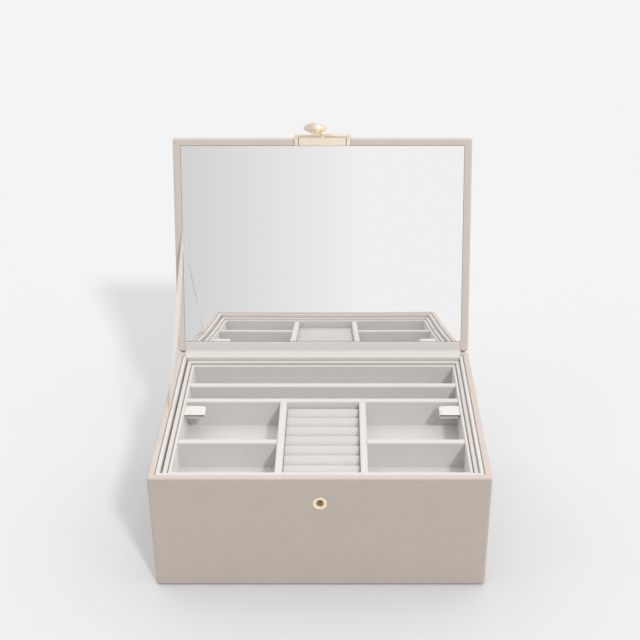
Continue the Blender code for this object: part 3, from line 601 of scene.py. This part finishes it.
def makeFlecked(name):
    # matt and flecked: paper fibres in the mirror's card, wool in the base felt, and painted shade in the
    # clasp's seams
    colour, fleck, size, roughness = mattFinishes[name]
    material, tree = emptyMaterial(name)
    place = addNode(tree, "ShaderNodeTexCoord").outputs["Object"]
    flecks = addNode(tree, "ShaderNodeTexNoise",
                     inputs={"Vector": place, "Scale": 1 / size, "Detail": 5.0, "Roughness": 0.75})
    mixed = addNode(tree, "ShaderNodeMix", {"data_type": 'RGBA'},
                    {0: flecks.outputs["Fac"], 6: linearColour(colour), 7: linearColour(fleck)})
    relief = addNode(tree, "ShaderNodeBump",
                     inputs={"Height": flecks.outputs["Fac"], "Distance": fleckRelief, "Strength": 0.7})
    mattShader = addNode(tree, "ShaderNodeBsdfPrincipled",
                         inputs={"Base Color": mixed.outputs[2], "Roughness": roughness,
                                 "Specular IOR Level": 0.15, "Normal": relief.outputs["Normal"]})
    addNode(tree, "ShaderNodeOutputMaterial", inputs={"Surface": mattShader.outputs[0]})
    return material


leather = makeLeatherette(leatherette)
lidSkinPaintedLit = makeLeatherette(lidSkinLookPaintedLit)
velvet = makeVelvet(greyVelvet)
trimVelvet = makeVelvet(beigeVelvet)
softVelvet = makeVelvet(rollVelvet)
cloth = makeLiningCloth()
satin = makeSatin()
silver = makeMirror()
gold = makeGold(goldPlate)
yellowGold = makeGold(eyeletGold)
card = makeFlecked("recycledGreyboard")
felt = makeFlecked("needledFelt")
seamShadePaint = makeFlecked("paintedSeamShade")
print("materials mixed")


# Case: boards wrapped in one skin of leatherette, lined with cloth-covered boards

case = {
    "corner": 2.5 * mm,        # at the four upright corners
    "edge": 2.0 * mm,          # round the outside of the rim
    "innerEdge": 0.9 * mm,
    "foot": 0.8 * mm,
    "liningEdge": 0.9 * mm,
    "liningCorner": 1.2 * mm,
    "innerCorner": 0.5 * mm,   # the least round of an inner corner
    "baseEdge": 0.6 * mm,
    "rimDepth": 3.0 * mm,      # what counts as rim where it is lowered under the hinge cloth
    "rimReach": 1.2,           # in wall thicknesses
    "clothSlope": 0.4 * mm,    # within which it rises again beside the cloth
    "socketHole": 0.72,        # the hole's share of the eyelet's width
}
caseWalls = ["case_%s_board" % side for side in ("front", "back", "left", "right")]
caseLow, caseHigh = boxOf(caseWalls)
wallThick = widthOf("case_left_board")
clothRoom = caseHigh.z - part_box("case_back_board")[1].z     # the back wall is lower under the hinge cloth
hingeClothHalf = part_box("hinge_lining")[1].x
rimStops = [hingeClothHalf + case["clothSlope"], hingeClothHalf, -hingeClothHalf,
            -hingeClothHalf - case["clothSlope"]]


def buildCaseShell():
    outer = (caseLow.x, caseHigh.x, caseLow.y, caseHigh.y)
    low, top = caseLow.z, caseHigh.z
    foot = case["foot"]
    profile = [(foot, low)] + [(foot * (1 - math.sin(a)), low + foot * (1 - math.cos(a)))
                               for a in (math.pi / 8, math.pi / 4, math.pi * 3 / 8, math.pi / 2)]
    profile += overTheTop(top, wallThick, case["edge"], case["innerEdge"])
    profile += [(wallThick, low)]
    loops = []
    for inset, z in profile:
        radius = max(case["corner"] - inset, case["innerCorner"])
        loops.append(roundLoop(grow(outer, -inset), z, radius, rimStops))
    lowest, foremost = top - case["rimDepth"], caseHigh.y - wallThick * case["rimReach"]
    for loop in loops:
        for point in loop:
            if point.z > lowest and point.y > foremost and abs(point.x) <= hingeClothHalf:
                point.z -= clothRoom
    bm = sweepLoops(loops, closed=True)
    shell = addPiece("case_leather", bm, leather, "case", caseWalls)

    hole = widthOf("clasp_socket") / 2 * case["socketHole"]
    centre = (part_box("clasp_socket")[0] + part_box("clasp_socket")[1]) / 2
    inFront = Matrix.Translation((centre.x, caseLow.y, centre.z)) @ Matrix.Rotation(math.pi / 2, 4, 'X')
    bm = bmesh.new()
    bmesh.ops.create_cone(bm, cap_ends=True, segments=48, radius1=hole, radius2=hole, depth=4 * wallThick,
                          matrix=inFront)
    cutOut(shell, cutterFrom(bm))


def buildLinings():
    names = ["case_%s_lining" % side for side in ("front", "back", "left", "right")]
    low, high = boxOf(names)
    thick = widthOf("case_left_lining")
    edge = case["liningEdge"]
    profile = [(0.0, low.z)] + overTheTop(high.z, thick, edge, edge) + [(thick, low.z)]
    outer = (low.x, high.x, low.y, high.y)
    corner, least = case["liningCorner"], case["innerCorner"]
    loops = [roundLoop(grow(outer, -inset), z, max(corner - inset, least), steps=4) for inset, z in profile]
    addPiece("case_lining", sweepLoops(loops, closed=True), cloth, "case", names)


def buildBase():
    # leather below, lining cloth above, where the bottom tray lifts off it
    low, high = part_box("case_base_board")
    outer = (low.x, high.x, low.y, high.y)
    edge = case["baseEdge"]
    profile = [(edge, low.z), (0.0, low.z + edge), (0.0, high.z - edge), (edge, high.z)]
    loops = [roundLoop(grow(outer, -inset), z, edge, steps=3) for inset, z in profile]
    base = addPiece("case_base", sweepLoops(loops, closed=False), leather, "case",
                    ["case_base_board"])
    base.data.materials.append(cloth)
    for face in base.data.polygons:
        if face.normal.z > 0.9:
            face.material_index = 1
    nodes["base_felt"].material_slots[0].material = felt


buildCaseShell()
buildLinings()
buildBase()
print("case covered")


# Lid: drawn shut over the case, then turned open about the hinge

hinge = next(joint for joint in frame["joints"] if joint["name"] == "lid_hinge")
hingeLine = Vector(hinge["pos_m"])
openAngle = math.radians(abs(hinge["range_deg"][0]))
openLid = Matrix.Translation(hingeLine) @ Matrix.Rotation(-openAngle, 4, 'X') @ Matrix.Translation(-hingeLine)
shutLid = openLid.inverted()

lid = {
    "corner": 2.5 * mm,
    "edge": 2.2 * mm,
    "backEdge": 1.6 * mm,
    "recessEdge": 0.5 * mm,
    "recessCorner": 0.3 * mm,
    "faceDepth": 2.0 * mm,     # what counts as face where it makes room for the hinge cloth
    "play": 0.25 * mm,         # round the glass and round the clasp's leaf
    "leafPocket": 1.1 * mm,    # how deep the leaf lies in the frame
    "overrun": 2.0 * mm,       # how far a cutter stands out of what it cuts
}


def buildLidShell():
    rails = ["lid_%s_rail" % side for side in ("front", "back", "left", "right")]
    low, high = boxOf(["lid_board"] + rails, shutLid)
    glassLow, glassHigh = boxOf(["mirror"], shutLid)
    plateLow, plateHigh = boxOf(["clasp_plate"], shutLid)
    outer = (low.x, high.x, low.y, high.y)
    play = lid["play"]
    recess = (glassLow.x - play, glassHigh.x + play, glassLow.y - play, glassHigh.y + play)
    floorZ = boxOf(["mirror_card"], shutLid)[1].z + play
    face, back = low.z, high.z
    edge = lid["recessEdge"]
    profile = [(0.0, floorZ), (0.0, face + edge), (edge * 0.3, face + edge * 0.3), (edge, face)]
    loops = [roundLoop(grow(recess, outset), z, lid["recessCorner"], rimStops) for outset, z in profile]
    turns = [math.pi / 2 * k / 5 for k in range(6)]
    for a in turns:
        inset = lid["edge"] * (1 - math.sin(a))
        loops.append(roundLoop(grow(outer, -inset), face + lid["edge"] * (1 - math.cos(a)),
                               lid["corner"] - inset, rimStops))
    for a in turns:
        inset = lid["backEdge"] * (1 - math.cos(a))
        loops.append(roundLoop(grow(outer, -inset), back - lid["backEdge"] * (1 - math.sin(a)),
                               lid["corner"] - inset, rimStops))
    for loop in loops:
        for point in loop:
            onHingeRail = point.y > glassHigh.y and abs(point.x) <= hingeClothHalf
            if onHingeRail and point.z < face + lid["faceDepth"]:
                point.z += clothRoom
    for loop in loops:
        for point in loop:
            point.xyz = openLid @ point
    shell = addPiece("lid_leather", sweepLoops(loops, closed=False), lidSkinPaintedLit, "lid",
                     ["lid_board"] + rails)

    leafTop = face + lid["leafPocket"]
    size = Vector((plateHigh.x - plateLow.x + 2 * play, plateHigh.y + play - (low.y - lid["overrun"]),
                   leafTop - (face - lid["overrun"])))
    centre = Vector(((plateLow.x + plateHigh.x) / 2, plateHigh.y + play - size.y / 2, leafTop - size.z / 2))
    cutOut(shell, cutterFrom(blockMesh(centre, size, openLid)))


buildLidShell()
nodes["mirror"].material_slots[0].material = silver
nodes["mirror_card"].material_slots[0].material = card
print("lid covered")


# Cloth over the hinge inside, leather spine outside, and the ribbon that stays the lid

softStrips = {
    "bendSteps": 8,
    "columns": 24,             # of faces across the cloth and the spine
    "clothThick": 0.6 * mm,
    "lidGap": 0.5 * mm,        # between the case and the shut lid
    "hemPuff": 0.4 * mm,       # how far the cloth's turned end stands off the lid
    "hemRound": 2.0 * mm,
    "spineThick": 0.8 * mm,
    "spineBend": 3.0 * mm,
    "spineStraight": 0.35,     # the share of its height at which its flat part has a point between
    "ribbonThick": 0.4 * mm,
    "ribbonEdge": 0.5,         # the share of that at its long edges
    "ribbonWidth": 8.0 * mm,
    "ribbonSag": 4.0 * mm,
    "ribbonBow": 0.25 * mm,
    "ribbonTwist": -28.0,      # degrees, half way up, towards the front
    "ribbonFoot": 0.7 * mm,    # how much of the frame's ribbon is averaged for its foot and for its head
    "ribbonHead": 9.0 * mm,
}


def opened(along, above):
    # a point of the lid in profile: along it from the hinge, and above its face when it lies shut
    return openLid @ Vector((0.0, hingeLine.y - along, hingeLine.z + above))


def buildHingeCloth():
    low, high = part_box("hinge_lining")
    thick = softStrips["clothThick"]
    steps = softStrips["bendSteps"]
    down = low.y + thick / 2
    level = caseHigh.z - thick / 2
    above = caseHigh.z + softStrips["lidGap"] + thick / 2 - hingeLine.z
    soft = 2 * thick
    lidEnd = (shutLid @ Vector((0, high.y, high.z))).y
    lastAlong = hingeLine.y - lidEnd
    path = [Vector((0, down, low.z)), Vector((0, down, (low.z + level) / 2))]
    path += bend(Vector((0, down, level - soft)), Vector((0, down, level)), Vector((0, down + soft, level)),
                 steps)
    narrow = len(path)
    path.append(Vector((0, (down + hingeLine.y) / 2, level)))
    path += bend(Vector((0, hingeLine.y - soft, level)), Vector((0, hingeLine.y, level)), opened(soft, above),
                 steps)
    puff, hem = softStrips["hemPuff"], softStrips["hemRound"]
    path += [opened(soft + (lastAlong - hem - soft) * share, above - puff) for share in (0.3, 0.65)]
    path += bend(opened(lastAlong - hem, above - puff), opened(lastAlong, above - puff),
                 opened(lastAlong, above), steps)
    flapHalf = min(point.co.x for point in nodes["hinge_lining"].data.vertices if point.co.x > 0)
    widths = [2 * flapHalf] * narrow + [2 * hingeClothHalf] * (len(path) - narrow)
    bm = stripMesh(path, Vector((1, 0, 0)), widths, thick, softStrips["columns"])
    piece = addPiece("hinge_cloth", bm, cloth, stands=["hinge_lining"], smoothBelow=80,
                     even=False)
    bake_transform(piece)


def buildSpine():
    low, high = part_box("hinge_spine")
    thick = softStrips["spineThick"]
    out = caseHigh.y + clearance + thick / 2
    gap = out - hingeLine.y
    reach = caseHigh.z - low.z
    bendAt = softStrips["spineBend"]
    path = [Vector((0, out, low.z)), Vector((0, out, low.z + reach * softStrips["spineStraight"]))]
    path += bend(Vector((0, out, caseHigh.z - gap - bendAt)), Vector((0, out, caseHigh.z - gap)),
                 opened(-gap, gap + bendAt), softStrips["bendSteps"])
    path += [opened(-gap, gap + bendAt + (reach - gap - bendAt) * share) for share in (0.5, 1.0)]
    width = high.x - low.x
    bm = stripMesh(path, Vector((1, 0, 0)), [width] * len(path), thick, softStrips["columns"])
    piece = addPiece("leather_spine", bm, leather, stands=["hinge_spine"], smoothBelow=80,
                     even=False)
    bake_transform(piece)


def buildStayRibbon():
    verts = [vert.co for vert in nodes["lid_stay_ribbon"].data.vertices]
    low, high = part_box("lid_stay_ribbon")
    foot = [v for v in verts if v.z < low.z + softStrips["ribbonFoot"]]
    headSize = softStrips["ribbonHead"]
    head = [v for v in verts if v.y > high.y - headSize and v.z > high.z - headSize]
    start = sum(foot, Vector()) / len(foot)
    end = sum(head, Vector()) / len(head)
    thick, width = softStrips["ribbonThick"], softStrips["ribbonWidth"]
    chord = (end - start).normalized()
    square = Vector((1, 0, 0)).cross(chord)
    lidWay = (opened(1.0, 0.0) - opened(0.0, 0.0)).normalized()
    steps, columns = 40, 6
    loops = []
    for k in range(steps + 1):
        t = k / steps
        point = start.lerp(end, t)
        point.z -= softStrips["ribbonSag"] * 4 * t * (1 - t)
        cut = Vector((0, -1, 0)).lerp(lidWay, t)
        twist = Matrix.Rotation(math.radians(softStrips["ribbonTwist"]) * math.sin(math.pi * t), 3, chord)
        half = twist @ cut * (width / 2 / cut.dot(square))
        loop = []
        for face in (1, -1):
            for column in range(columns + 1):
                share = 2 * column / columns - 1
                bow = softStrips["ribbonBow"] * (1 - share * share) * math.sin(math.pi * t)
                edge = softStrips["ribbonEdge"] if column in (0, columns) else 1.0
                offset = twist @ Vector((face * thick / 2 * edge + bow, 0, 0))
                loop.append(point + half * (share * face) + offset)
        loops.append(loop)
    piece = addPiece("stay_ribbon", sweepLoops(loops, closed=False), satin,
                     stands=["lid_stay_ribbon"], smoothBelow=70, even=False)
    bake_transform(piece)


buildHingeCloth()
buildSpine()
buildStayRibbon()
print("hinge and stay sewn")


# Trays: each a box covered in velvet, with covered boards let in between its walls

trays = {
    "rimRound": 1.0 * mm,
    "corner": 1.6 * mm,
    "innerCorner": 0.6 * mm,
    "foot": 0.6 * mm,
    "boardRound": 1.5 * mm,    # along the top of a divider
}
traySkins = {"bottom_tray": (trimVelvet, "beige_velvet"), "middle_tray": (velvet, "grey_velvet"),
             "top_tray": (velvet, "grey_velvet")}


def buildTrayBox(tray):
    names = ["%s_%s_wall" % (tray, side) for side in ("front", "back", "left", "right")]
    low, high = boxOf(names)
    wall = widthOf(tray + "_left_wall")
    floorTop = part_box(tray + "_floor")[1].z
    outer = (low.x, high.x, low.y, high.y)
    foot, rim = trays["foot"], trays["rimRound"]
    profile = [(foot, low.z), (foot * 0.3, low.z + foot * 0.3), (0.0, low.z + foot)]
    profile += overTheTop(high.z, wall, rim, rim)
    profile += [(wall, floorTop + foot), (wall + foot * 0.3, floorTop + foot * 0.3), (wall + foot, floorTop)]
    loops = [roundLoop(grow(outer, -inset), z, max(trays["corner"] - inset, trays["innerCorner"]), steps=5)
             for inset, z in profile]
    skin, slotName = traySkins[tray]
    addPiece(tray + "_box", sweepLoops(loops, closed=False), skin, tray, names + [tray + "_floor"])


def buildDivider(name, tray):
    low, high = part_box(name)
    grown = clearance - hair
    alongX = high.x - low.x > high.y - low.y
    if alongX:
        low.x, high.x = low.x - grown, high.x + grown
    else:
        low.y, high.y = low.y - grown, high.y + grown
    low.z -= grown
    bm = blockMesh((low + high) / 2, high - low)

    def isTopLong(edge):
        a, b = edge.verts[0].co, edge.verts[1].co
        span = abs(a.x - b.x) if alongX else abs(a.y - b.y)
        return min(a.z, b.z) > high.z - hair and span > hair

    bmesh.ops.bevel(bm, geom=[e for e in bm.edges if isTopLong(e)], offset=trays["boardRound"], segments=6,
                    profile=0.5, affect='EDGES')
    addPiece(name + "_covered", bm, velvet, tray, [name])


for tray in traySkins:
    buildTrayBox(tray)
    for name in sorted(nodes.keys()):
        if name.startswith(tray) and name.endswith(("divider", "column", "cross")):
            buildDivider(name, tray)
print("trays covered")


# Ring rolls: foam rolls in velvet, side by side, with a slit between each two

ringRolls = {
    "count": 7,
    "pitch": 15.44 * mm,       # from the back; what is left in front is filled by one narrow roll
    "bulge": 5.2 * mm,         # from crown to crease
    "slit": 0.5 * mm,
    "slitDepth": 6.0 * mm,
    "lip": 1.5 * mm,           # over which a roll's side turns down into the slit
    "fullness": 0.9,           # under 1 fills a roll out beside its crown
    "endRound": 1.5 * mm,
    "endShrink": 0.6 * mm,
    "unevenness": 0.12 * mm,
    "waves": 60.0,             # how quickly that changes along a metre of roll
    "waveStep": 3.7,           # and from roll to roll
    "arcSteps": 14,
    "cuts": 14,                # along a roll, between its rounded ends
}


def buildRingRolls():
    low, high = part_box("ring_rolls")
    slits = [high.y - ringRolls["pitch"] * k for k in range(ringRolls["count"], 0, -1)]
    gap = ringRolls["slit"] / 2
    rolls = list(zip([low.y] + [y + gap for y in slits], [y - gap for y in slits] + [high.y]))
    stops = [0.0, 0.03, 0.1, 0.25, 0.5, 0.75, 1.0]
    ends = [ringRolls["endRound"] * s for s in stops]
    places = [low.x + e for e in ends]
    inner = high.x - low.x - 2 * ringRolls["endRound"]
    cuts, arcSteps = ringRolls["cuts"], ringRolls["arcSteps"]
    places += [low.x + ringRolls["endRound"] + inner * k / cuts for k in range(1, cuts)]
    places += [high.x - e for e in reversed(ends)]

    def section(x):
        fromEnd = min(x - low.x, high.x - x, ringRolls["endRound"]) / ringRolls["endRound"]
        drawn = ringRolls["endShrink"] * (1 - math.sqrt(max(0.0, 1 - (1 - fromEnd) ** 2)))
        points = [Vector((x, high.y - drawn, low.z)), Vector((x, low.y + drawn, low.z))]
        for k, (start, end) in enumerate(rolls):
            middle, half = (start + end) / 2, (end - start) / 2
            spot = Vector((x * ringRolls["waves"], k * ringRolls["waveStep"], 0.4))
            wobble = ringRolls["unevenness"] * noise.noise(spot)
            crease = high.z - drawn - ringRolls["bulge"] - ringRolls["unevenness"] + wobble
            reach = half - drawn * 0.5
            if k:
                points.append(Vector((x, start, crease - ringRolls["slitDepth"])))
                points.append(Vector((x, start, crease - ringRolls["lip"])))
            for step in range(arcSteps + 1):
                angle = math.pi * (1 - step / arcSteps)
                rise = ringRolls["bulge"] * math.sin(angle) ** ringRolls["fullness"]
                points.append(Vector((x, middle + reach * math.cos(angle), crease + rise)))
            if k < ringRolls["count"]:
                points.append(Vector((x, end, crease - ringRolls["lip"])))
                points.append(Vector((x, end, crease - ringRolls["slitDepth"])))
        return points

    bm = sweepLoops([section(x) for x in places], closed=False)
    piece = addPiece("velvet_ring_rolls", bm, softVelvet, "top_tray", ["ring_rolls"],
                     smoothBelow=60, even=False)


buildRingRolls()
print("ring rolls stuffed")


# Pull tabs: satin ribbon folded double, its ends glued behind the tray's covering

pullTabs = {
    "thick": 0.5 * mm,
    "droop": 0.6 * mm,         # the free end hangs a little
    "curl": 0.35 * mm,
    "pinch": 3.0 * mm,         # how much narrower the fold is, since the ribbon's edges draw in there
    "straightSteps": 8,
    "foldSteps": 10,
}


def buildPullTab(name, tray):
    low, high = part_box(name)
    fromLeft = "left" in name
    way = 1 if fromLeft else -1
    root = (low.x if fromLeft else high.x) - way * (clearance - hair)
    tip = high.x if fromLeft else low.x
    width = high.y - low.y
    middle = (low.y + high.y) / 2
    thick = pullTabs["thick"]
    upper, lower = high.z - thick / 2, low.z + thick / 2
    radius = (upper - lower) / 2
    turn = tip - way * radius
    straight, fold = pullTabs["straightSteps"], pullTabs["foldSteps"]
    path = [Vector((root + (turn - root) * k / straight, middle, upper)) for k in range(straight)]
    for k in range(fold + 1):
        angle = math.radians(90 - 180 * k / fold)
        path.append(Vector((turn + way * radius * math.cos(angle), middle,
                            upper - radius + radius * math.sin(angle))))
    path += [Vector((turn + (root - turn) * k / straight, middle, lower)) for k in range(1, straight + 1)]
    reaches = [abs(point.x - root) / abs(tip - root) for point in path]
    for point, reach in zip(path, reaches):
        point.z -= pullTabs["droop"] * reach ** 2

    def ripple(along, share):
        return pullTabs["curl"] * share * share * math.sin(math.pi * along) * way

    widths = [width - pullTabs["pinch"] * (1 - math.sqrt(max(0.0, 1 - reach ** 6))) for reach in reaches]
    bm = stripMesh(path, Vector((0, 1, 0)), widths, thick, columns=8, ripple=ripple)
    piece = addPiece(name + "_ribbon", bm, satin, tray, [name], smoothBelow=80,
                     even=False)


for name in sorted(name for name in nodes if name.endswith("_tab")):
    buildPullTab(name, name[:name.index("_tray") + 5])


# Clasp: the cast pieces keep their shapes, with their edges eased and plated

claspParts = {                 # how wide each one's edges are eased
    "clasp_pin": 0.15 * mm,
    "clasp_hasp": 0.25 * mm,
    "clasp_button": 0.2 * mm,
    "clasp_ball": 0.0,
    "clasp_socket": 0.08 * mm,
}
claspSeams = {
    "apart": 47.7 * mm,        # the seams run over the leaf where its end knuckles meet the hasp's
    "wide": 0.6 * mm,
    "deep": 0.5 * mm,
    "edge": 0.1 * mm,
}


easedFrom = 40                 # degrees between two faces, from which their edge is eased


def easeEdges(part, width):
    eased = part.modifiers.new("easedEdges", 'BEVEL')
    eased.width = width
    eased.segments = 2
    eased.limit_method = 'ANGLE'
    eased.angle_limit = math.radians(easedFrom)
    part.modifiers.new("evenFaces", 'WEIGHTED_NORMAL').keep_sharp = True


def buildClaspPlate():
    bm = bmesh.new()
    bm.from_mesh(nodes["clasp_plate"].data)
    leaf = addPiece("clasp_leaf", bm, gold, "lid", ["clasp_plate"], even=False)
    low, high = boxOf(["clasp_plate"], shutLid)
    railFront = boxOf(["lid_front_rail"], shutLid)[0].y
    face = boxOf(["lid_left_rail"], shutLid)[0].z
    middle = (low.x + high.x) / 2
    size = Vector((claspSeams["wide"], high.y - railFront + lid["overrun"], 2 * claspSeams["deep"]))
    for way in (-1, 1):
        centre = Vector((middle + way * claspSeams["apart"] / 2, (high.y + railFront) / 2, face))
        cutOut(leaf, cutterFrom(blockMesh(centre, size, openLid)))
    # the seams' walls and floors take the dark painted shade, standing in for the shadow in the gaps
    leaf.data.materials.append(seamShadePaint)
    for side in leaf.data.polygons:
        centre = shutLid @ side.center
        fromSeam = abs(abs(centre.x - middle) - claspSeams["apart"] / 2)
        depth = centre.z - face
        if fromSeam < claspSeams["wide"] / 2 + hair and hair < depth < claspSeams["deep"] + hair:
            side.material_index = 1
    easeEdges(leaf, claspSeams["edge"])


buildClaspPlate()
for name, edge in claspParts.items():
    nodes[name].material_slots[0].material = yellowGold if name == "clasp_socket" else gold
    if edge:
        easeEdges(nodes[name], edge)
print("clasp plated")
